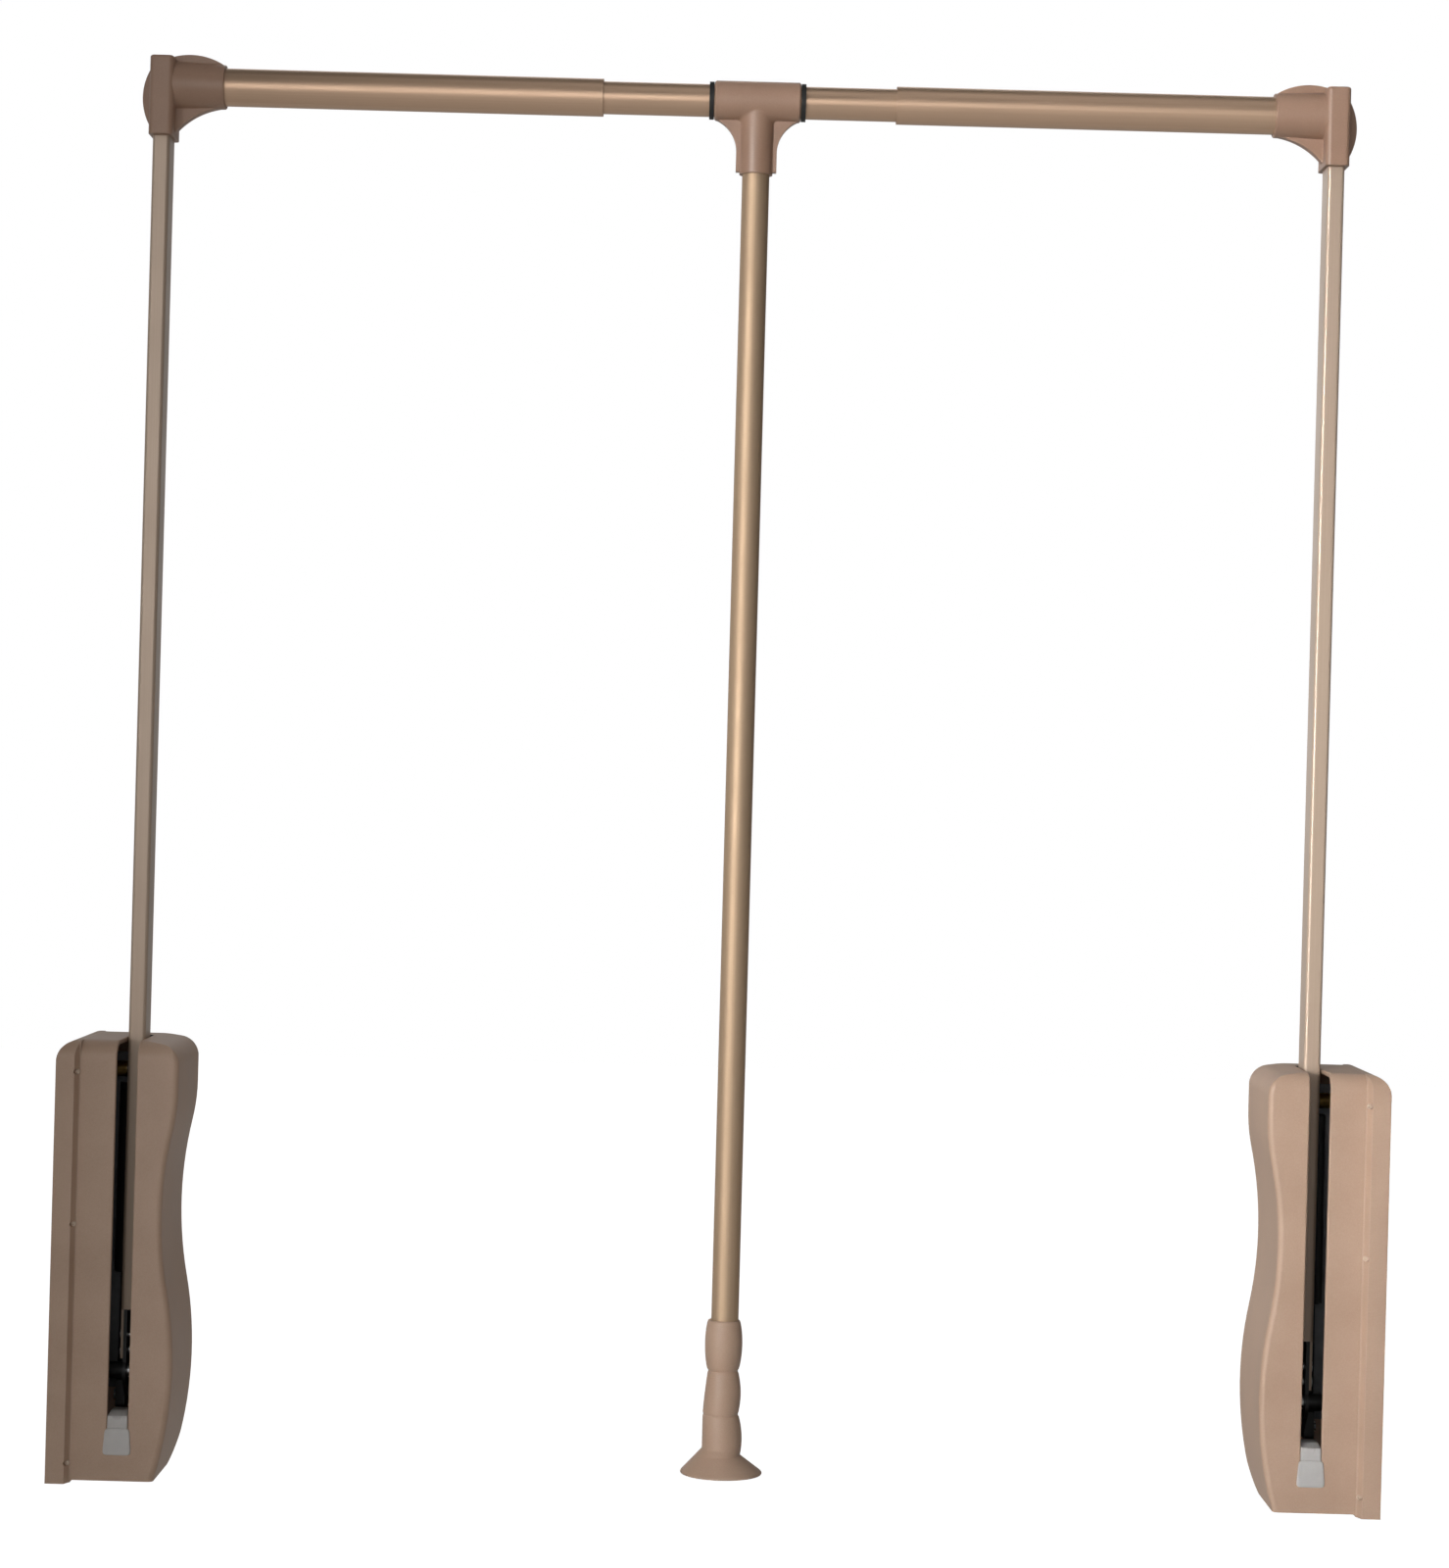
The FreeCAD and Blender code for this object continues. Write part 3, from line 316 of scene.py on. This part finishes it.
def champagne_abs(name, dark, light, edge, rough):
    """Spark-eroded champagne ABS: clouded colour, shallow grain, low wide gloss, polished edges painted paler,
    partly as a painted highlight.
    """
    material, tree, shader, place = start_material(name)
    soft, polish_and_highlight_mask = edge_polish_and_painted_highlight(tree, 0.8)
    cloud = add(tree, "ShaderNodeTexNoise", {"Vector": place, "Scale": per_metre(45.0), "Detail": 3.0})
    fleck = add(tree, "ShaderNodeTexNoise", {"Vector": place, "Scale": per_metre(0.7), "Detail": 1.0})
    amount = add(
        tree,
        "ShaderNodeMix",
        {"Factor": 0.3, "A": cloud.outputs["Fac"], "B": fleck.outputs["Fac"]},
    )
    spread = add(tree, "ShaderNodeMapRange", {"Value": amount.outputs[0], **NOISE_SPAN})
    tint = add(
        tree,
        "ShaderNodeMix",
        {"Factor": spread.outputs[0], "A": linear(dark), "B": linear(light)},
        data_type="RGBA",
    )
    # Edges turn towards the pale edge colour: partly polish, partly a painted highlight along each edge.
    edge_rub_and_highlight = add(tree, "ShaderNodeMath", {0: polish_and_highlight_mask, 1: cloud.outputs["Fac"]}, operation="MULTIPLY")
    colour = add(
        tree,
        "ShaderNodeMix",
        {"Factor": edge_rub_and_highlight.outputs[0], "A": tint.outputs[2], "B": linear(edge)},
        data_type="RGBA",
    )
    tree.links.new(colour.outputs[2], shader.inputs["Base Color"])
    gloss = add(
        tree,
        "ShaderNodeMapRange",
        {"Value": cloud.outputs["Fac"], **NOISE_SPAN, "To Min": rough - 0.05, "To Max": rough + 0.05},
    )
    polish = add(
        tree,
        "ShaderNodeMath",
        {0: edge_rub_and_highlight.outputs[0], 1: -0.2, 2: gloss.outputs[0]},
        operation="MULTIPLY_ADD",
    )
    tree.links.new(polish.outputs[0], shader.inputs["Roughness"])
    grain = add(tree, "ShaderNodeTexNoise", {"Vector": place, "Scale": per_metre(0.9), "Detail": 2.0})
    bump = add(
        tree,
        "ShaderNodeBump",
        {"Height": grain.outputs["Fac"], "Strength": 0.25, "Distance": 0.06 * MM, "Normal": soft},
    )
    tree.links.new(bump.outputs[0], shader.inputs["Normal"])
    shader.inputs["IOR"].default_value = 1.53
    shader.inputs["Metallic"].default_value = 0.0
    return material


housing_abs = champagne_abs("spark_eroded_champagne_abs", "#b0927c", "#bfa28c", "#d5bca7", 0.52)
fitting_abs = champagne_abs("spark_eroded_champagne_abs_fittings", "#9c7a65", "#ad8b75", "#c2a38c", 0.44)
print("materials:", housing_abs.name, fitting_abs.name)

# %% [markdown]
# ## Drawn and anodised tubes
#
# The rail and the pull rod are drawn aluminium tube, anodised champagne; the arms are steel tube with
# a lacquer of the same tint. Drawing leaves straight hair lines along each tube. They are noise
# stretched a thousand times along the tube, so each tube direction needs its own stretch. Real ones are
# about 0.1 mm apart, which would not show, so they are drawn at 0.8 mm, faint and shallow.


# %% Champagne metal
def champagne_metal(name, along, dark, light, rough, metallic):
    """Drawn tube with a champagne finish: hair lines stretched along X or Z."""
    material, tree, shader, place = start_material(name)
    stretch = {"X": (0.001, 1.0, 1.0), "Z": (1.0, 1.0, 0.001)}[along]
    drawn = add(tree, "ShaderNodeMapping", {"Vector": place, "Scale": stretch})
    hair = add(
        tree,
        "ShaderNodeTexNoise",
        {"Vector": drawn.outputs[0], "Scale": per_metre(0.8), "Detail": 3.0, "Roughness": 0.6},
    )
    cloud = add(tree, "ShaderNodeTexNoise", {"Vector": place, "Scale": per_metre(60.0), "Detail": 2.0})
    spread = add(tree, "ShaderNodeMapRange", {"Value": hair.outputs["Fac"], **NOISE_SPAN})
    tint = add(
        tree,
        "ShaderNodeMix",
        {"Factor": spread.outputs[0], "A": linear(dark), "B": linear(light)},
        data_type="RGBA",
    )
    tree.links.new(tint.outputs[2], shader.inputs["Base Color"])
    gloss = add(
        tree,
        "ShaderNodeMapRange",
        {"Value": cloud.outputs["Fac"], **NOISE_SPAN, "To Min": rough - 0.04, "To Max": rough + 0.04},
    )
    tree.links.new(gloss.outputs[0], shader.inputs["Roughness"])
    bump = add(tree, "ShaderNodeBump", {"Height": hair.outputs["Fac"], "Strength": 0.1, "Distance": 0.01 * MM})
    tree.links.new(bump.outputs[0], shader.inputs["Normal"])
    shader.inputs["Metallic"].default_value = metallic
    return material


rail_metal = champagne_metal("drawn_champagne_aluminium_rail", "X", "#be9f86", "#c5a78d", 0.42, 0.75)
rod_metal = champagne_metal("drawn_champagne_aluminium_rod", "Z", "#b79c80", "#bda387", 0.58, 0.65)
arm_metal = champagne_metal("lacquered_champagne_steel_arm", "Z", "#b9a38f", "#bea894", 0.36, 0.2)
print("materials:", rail_metal.name, rod_metal.name, arm_metal.name)

# %% [markdown]
# ## Mechanism inside the housings
#
# Through the slot one sees the gas strut, sprayed a dark grey, and the blackened steel bracket and rod
# end below it. Pins and rivets are bright zinc. These share one recipe, a plain coat with a little
# mottling, with different colours, metal shares and gloss.


# %% Plain coats
def coated(name, dark, light, rough, metallic, mottle_mm, ior=None):
    """A plain coat: mottled colour and gloss, with slight ripples of the same size."""
    material, tree, shader, place = start_material(name)
    mottle = add(
        tree,
        "ShaderNodeTexNoise",
        {"Vector": place, "Scale": per_metre(mottle_mm), "Detail": 3.0, "Roughness": 0.6},
    )
    spread = add(tree, "ShaderNodeMapRange", {"Value": mottle.outputs["Fac"], **NOISE_SPAN})
    tint = add(
        tree,
        "ShaderNodeMix",
        {"Factor": spread.outputs[0], "A": linear(dark), "B": linear(light)},
        data_type="RGBA",
    )
    tree.links.new(tint.outputs[2], shader.inputs["Base Color"])
    gloss = add(
        tree,
        "ShaderNodeMapRange",
        {"Value": mottle.outputs["Fac"], **NOISE_SPAN, "To Min": rough - 0.05, "To Max": rough + 0.05},
    )
    tree.links.new(gloss.outputs[0], shader.inputs["Roughness"])
    bump = add(tree, "ShaderNodeBump", {"Height": mottle.outputs["Fac"], "Strength": 0.15, "Distance": 0.05 * MM})
    tree.links.new(bump.outputs[0], shader.inputs["Normal"])
    shader.inputs["Metallic"].default_value = metallic
    if ior:
        shader.inputs["IOR"].default_value = ior
    return material


strut_paint = coated("sprayed_dark_grey_steel", "#232220", "#2a2826", 0.42, 0.0, 20.0, 1.5)
black_steel = coated("blackened_steel", "#1a1a19", "#232221", 0.42, 0.0, 12.0, 1.5)
zinc = coated("zinc_plated_steel", "#b9babb", "#cfd0cf", 0.28, 1.0, 3.0)
zinc_sheet = coated("zinc_plated_sheet_steel", "#737475", "#868788", 0.55, 1.0, 9.0)
brass = coated("yellow_brass", "#a08048", "#b4955a", 0.32, 1.0, 3.0)
black_nylon = coated("moulded_black_nylon", "#151515", "#1f1f1f", 0.5, 0.0, 2.0, 1.53)
black_rubber = coated("moulded_black_rubber", "#121110", "#1b1a19", 0.7, 0.0, 2.0, 1.52)
coats = (strut_paint, black_steel, zinc, zinc_sheet, brass, black_nylon, black_rubber)
print("coats:", [coat.name for coat in coats])

# %% [markdown]
# ## Milky bumpers
#
# The bumpers at the foot of each slot are low-density polyethylene: soft, milky and a little see-through.
# Light goes in, spreads and comes out again, so part of it is transmitted through a rough surface and
# the rest is scattered under the skin.

# %% Milky polyethylene
milky, tree, shader, place = start_material("moulded_milky_polyethylene")
haze = add(tree, "ShaderNodeTexNoise", {"Vector": place, "Scale": per_metre(5.0), "Detail": 2.0})
tint = add(
    tree,
    "ShaderNodeMix",
    {"Factor": haze.outputs["Fac"], "A": linear("#d6d1cd"), "B": linear("#e6e2de")},
    data_type="RGBA",
)
tree.links.new(tint.outputs[2], shader.inputs["Base Color"])
shader.inputs["Roughness"].default_value = 0.45
shader.inputs["IOR"].default_value = 1.51
shader.inputs["Transmission Weight"].default_value = 0.35
shader.inputs["Subsurface Weight"].default_value = 0.3
shader.inputs["Subsurface Radius"].default_value = (1.0, 0.95, 0.9)
shader.inputs["Subsurface Scale"].default_value = 3.0 * MM
print("material:", milky.name)

# %% [markdown]
# ## Finishes on the engineered pieces
#
# Each engineered piece keeps its shape and gets its finish here. Both sides of the object are alike, so
# one table of plain names serves left and right. What the table doesn't name is bright zinc.

# %% Finish table
finishes = {
    "base_shell": housing_abs,
    "cover": housing_abs,
    "elbow": fitting_abs,
    "tee_connector": fitting_abs,
    "grip": housing_abs,
    "outer_tube": rail_metal,
    "centre_tube": rail_metal,
    "pull_rod": rod_metal,
    "arm_tube": arm_metal,
    "strut_cylinder": strut_paint,
    "strut_rod": black_steel,
    "strut_rod_end": black_steel,
    "arm_bracket": black_steel,
    "chassis": zinc_sheet,
    "strut_top_spacers": brass,
    "pivot_bushes": black_nylon,
    "strut_seal": black_nylon,
    "centre_tube_plugs": black_nylon,
    "tee_rings": black_rubber,
    "arm_stop": black_rubber,
    "bumper": milky,
}
for name, node in nodes.items():
    plain_name = name.replace("left_", "").replace("right_", "")
    node.data.materials.clear()
    node.data.materials.append(finishes.get(plain_name, zinc))
print("finished nodes:", len(nodes))

# %% [markdown]
# ## The grip
#
# The grip at the foot of the pull rod is a soft moulding: three swelling lobes on its right side, where
# the fingers close, a smoother back on its left, and a conical foot that stops the hand. Its two side
# outlines differ, so both are written down, as a radius in millimetres at each height. Each is the larger
# of the hand's part and of the foot's cone.

# %% Grip outline
grip_foot = 7.5
grip_top = 97.5
creases = (42.3, 68.0)
finger_neck = 18.0  # where the cone starts on the finger side
palm_neck = 22.2
cone_foot = 9.15
cone_foot_radius = 23.6
rim_round = 0.8
bore = 8.05


def lobe(z, low, high, radius_low, radius_high, swell, power):
    """A swelling between two creases: a straight line from crease to crease plus a rounded sine hump."""
    share = np.clip((z - low) / (high - low), 0.0, 1.0)
    hump = np.sin(np.pi * share) ** power
    return radius_low + (radius_high - radius_low) * share + swell * hump


def crease_lines(z):
    """A fine groove round the grip at each crease, a bell curve 0.4 mm deep and about 1.5 mm wide."""
    return sum(0.4 * np.exp(-(((z - crease) / 0.7) ** 2)) for crease in creases)


def finger_side(z):
    """Three lobes, one above the other."""
    low, high = creases
    top = lobe(z, high, grip_top, 8.4, 8.6, 2.2, 0.6)
    middle_lobe = lobe(z, low, high, 9.1, 8.4, 1.75, 0.8)
    foot = lobe(z, 17.5, low, 10.5, 9.1, 1.9, 0.7)
    return np.where(z > high, top, np.where(z > low, middle_lobe, foot)) - 0.5 * crease_lines(z)


def palm_side(z):
    """One lobe at the top, then a slow swelling down to the neck."""
    low, high = creases
    top = lobe(z, high, grip_top, 9.2, 9.6, 1.9, 0.6)
    rest = 11.6 - 2.4 * np.clip((z - low) / (high - low), 0.0, 1.0) ** 1.3
    return np.where(z > high, top, rest) - crease_lines(z)


def cone(z, top, top_radius):
    """The foot's straight flare, from its top down to the rim."""
    return top_radius + (top - z) * (cone_foot_radius - top_radius) / (top - cone_foot)


body_z = np.linspace(grip_top - 0.15, 9.2, 320)
finger_body = np.maximum(finger_side(body_z), cone(body_z, finger_neck, 11.6))
palm_body = np.maximum(palm_side(body_z), cone(body_z, palm_neck, 11.55))
turn = np.linspace(-0.9, np.pi / 2, 8)
rim_r = 23.2 + rim_round * np.cos(turn)
rim_z = 8.3 - rim_round * np.sin(turn)
mouth_z = np.array([92.5, 96.9, 97.3, grip_top, grip_top])
mouth_r = np.array([bore, bore, bore + 0.1, bore + 0.35, bore + 0.5])
under_r = np.array([21.2, 20.4, 20.0, 12.0, 0.0])
under_z = np.array([grip_foot, 7.6, 9.0, 9.0, 9.0])
grip_z = np.concatenate([mouth_z, body_z, rim_z, under_z])
finger_r = np.concatenate([mouth_r, finger_body, rim_r, under_r])
palm_r = np.concatenate([mouth_r, palm_body, rim_r, under_r])
print("grip outline:", len(grip_z), "points, widest", round(float(finger_r.max()), 2), "mm")

# %% [markdown]
# Round the grip, the radius goes from one outline to the other with the cosine of the angle, so the
# creases between the lobes fade away round the front by themselves.


# %% Grip surface
def grip_points(centre_x, columns):
    """Radius at angle a and height z: the mean of the two outlines plus half their difference times cos a."""
    angle = np.linspace(0.0, 2.0 * np.pi, columns)
    mean = (finger_r + palm_r)[:, None] / 2
    lean = (finger_r - palm_r)[:, None] / 2
    radius = mean + lean * np.cos(angle)
    x = centre_x + radius * np.cos(angle)
    y = radius * np.sin(angle)
    return np.stack([x, y, np.broadcast_to(grip_z[:, None], x.shape)], axis=-1) * MM


handle_x = 4.5
grip = surface("soft_grip", [grip_points(handle_x, 97)])
grip.data.materials.append(housing_abs)
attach(grip, "handle")
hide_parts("grip")
print("grip:", len(grip.data.polygons), "faces")

# %% [markdown]
# ## Screws
#
# Three small screws hold each cover, two hold each elbow from behind and one holds the tee. A screw is
# a turned profile: domed head, flat seat, thread and tip. Two things are not round, so they are added to
# the surface as functions of the angle: a cross recess sunk in the head, and a thread whose crest climbs
# one pitch in each turn.


# %% Screw surface
def screw_points(place, head_radius, head_height, shank_radius, length, facing):
    """Rows run from the middle of the head over its edge and down the shank. The cross sinks where the
    smaller of the two offsets from the axis is under half an arm's width. The thread adds a sine of
    the turns along the shank plus the angle."""
    angle = np.linspace(0.0, 2.0 * np.pi, 65)
    dome_r = head_radius * np.linspace(0.0, 0.97, 18)
    dome_h = head_height * (0.55 + 0.45 * np.sqrt(np.clip(1.0 - (dome_r / head_radius) ** 2, 0.0, 1.0)))
    side_r = np.array([head_radius, head_radius, head_radius * 0.98, shank_radius])
    side_h = np.array([head_height * 0.5, 0.05, 0.0, 0.0])
    shank_h = np.linspace(-0.1, -length + 0.6, 40)
    shank_r = np.full_like(shank_h, shank_radius * 0.93)
    tip_r = np.array([shank_radius * 0.5, 0.0])
    tip_h = np.array([-length + 0.2, -length])
    radius = np.concatenate([dome_r, side_r, shank_r, tip_r])[:, None] * np.ones_like(angle)
    height = np.concatenate([dome_h, side_h, shank_h, tip_h])[:, None] * np.ones_like(angle)
    u = radius * np.cos(angle)
    w = radius * np.sin(angle)
    arm = np.minimum(np.abs(u), np.abs(w)) / (0.16 * head_radius)
    within = np.clip((0.62 * head_radius - radius) / (0.12 * head_radius), 0.0, 1.0)
    head = height > 0.3 * head_height
    height = height - head * 0.5 * head_height * within * np.clip(1.6 - arm, 0.0, 1.0)
    pitch = 0.5 * shank_radius
    on_shank = (height < -0.05) & (height > -length + 0.55)
    crest = np.sin(2.0 * np.pi * height / pitch + angle)
    swell = np.where(on_shank, 1.0 + 0.06 * crest, 1.0)
    x, y, z = place
    return np.stack([x + u * swell, y + facing * height, z + w * swell], axis=-1) * MM


cover_screw = {"head_radius": 1.5, "head_height": 1.3, "shank_radius": 1.0, "length": 7.5, "facing": -1.0}
back_screw = {"head_radius": 3.0, "head_height": 1.5, "shank_radius": 1.6, "length": 4.0, "facing": 1.0}
arm_x = 343.5
rail_z = 812.5
seam_x = 371.7
cover_heights = (11.7, 149.0, 236.5)
# The cover screw heads are champagne lacquer coloured paler than the cover: a painted highlight that makes them
# show as light dots.
screw_lacquer_and_painted_highlight = coated("lacquered_champagne_steel_screw", "#cbb7a4", "#d8c6b4", 0.35, 0.3, 2.0)
for side, sign in (("left", -1.0), ("right", 1.0)):
    places = [(sign * seam_x, -41.4, z) for z in cover_heights]
    screws = surface(side + "_cover_screw_heads", [screw_points(p, **cover_screw) for p in places])
    screws.data.materials.append(screw_lacquer_and_painted_highlight)
    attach(screws, side + "_housing")
    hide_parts(side + "_cover_screws")
    places = [(sign * arm_x, 13.3, rail_z - 20.0), (sign * (arm_x - 24.0), 12.3, rail_z)]
    screws = surface(side + "_elbow_cross_screws", [screw_points(p, **back_screw) for p in places])
    screws.data.materials.append(zinc)
    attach(screws, side + "_arm")
    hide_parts(side + "_elbow_screws")
tee_place = (handle_x, 9.2, rail_z - 32.0)
screws = surface("tee_cross_screw", [screw_points(tee_place, **back_screw)])
screws.data.materials.append(zinc)
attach(screws, "handle")
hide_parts("tee_screw")
print("screws: 11, the last with", len(screws.data.polygons), "faces")

# %% [markdown]
# ## Bumpers
#
# Each bumper snaps into the foot of the slot: a thin flange lies on the cover, a neck fills the slot
# behind it and an inner lip holds it. Moulded polyethylene has no sharp edges, so each of the three
# is a slab with a squarish rounded outline and a rounded front. The neck ends in a saddle, a slope
# just under the lowered arm.


# %% Bumper surface
def saddle(y):
    """Height of the saddle, just under the lowered arm, which falls towards the front."""
    return 39.25 + 0.2126 * (y + 41.0)


def slab_points(centre_x, half_foot, half_top, foot, top, front, back):
    """A slab square to Y. The outline is a superellipse, whose power of 8 makes it nearly a rectangle,
    with a half-width that changes evenly from foot to top. Rows run from the middle of the front to its
    rounded edge, along the side, and in to the middle of the back. The top is cut down to the saddle."""
    angle = np.linspace(0.0, 2.0 * np.pi, 121)
    power = 2.0 / 8.0
    across = np.sign(np.cos(angle)) * np.abs(np.cos(angle)) ** power
    upright = np.sign(np.sin(angle)) * np.abs(np.sin(angle)) ** power
    edge = min(0.6, 0.45 * (back - front))
    bend = np.linspace(0.0, np.pi / 2, 7)
    rounding = 1.0 - edge / half_top * (1.0 - np.sin(bend))
    share = np.concatenate([[0.0, 0.5, 0.8], rounding, [1.0, 1.0, 0.6, 0.0]])
    depth = np.concatenate(
        [np.full(3, front), front + edge * (1.0 - np.cos(bend)), [0.5 * (front + back), back, back, back]]
    )
    up = np.outer(share, upright)
    z = (foot + top) / 2 + (top - foot) / 2 * up
    width = half_foot + (half_top - half_foot) * (z - foot) / (top - foot)
    x = centre_x + width * np.outer(share, across)
    y = depth[:, None] * np.ones_like(angle)
    z = np.minimum(z, saddle(y))
    return np.stack([x, y, z], axis=-1) * MM


for side, sign in (("left", -1.0), ("right", 1.0)):
    x = sign * arm_x
    flange = slab_points(x, half_foot=8.2, half_top=7.0, foot=16.5, top=32.0, front=-42.2, back=-41.02)
    neck = slab_points(x, half_foot=5.8, half_top=5.8, foot=18.55, top=41.5, front=-41.6, back=-26.0)
    lip = slab_points(x, half_foot=7.4, half_top=7.4, foot=18.55, top=32.0, front=-38.45, back=-36.0)
    bumper = surface(side + "_milky_bumper", [flange, neck, lip])
    bumper.data.materials.append(milky)
    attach(bumper, side + "_housing")
    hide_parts(side + "_bumper")
print("bumpers: 2, each with", len(bumper.data.polygons), "faces")
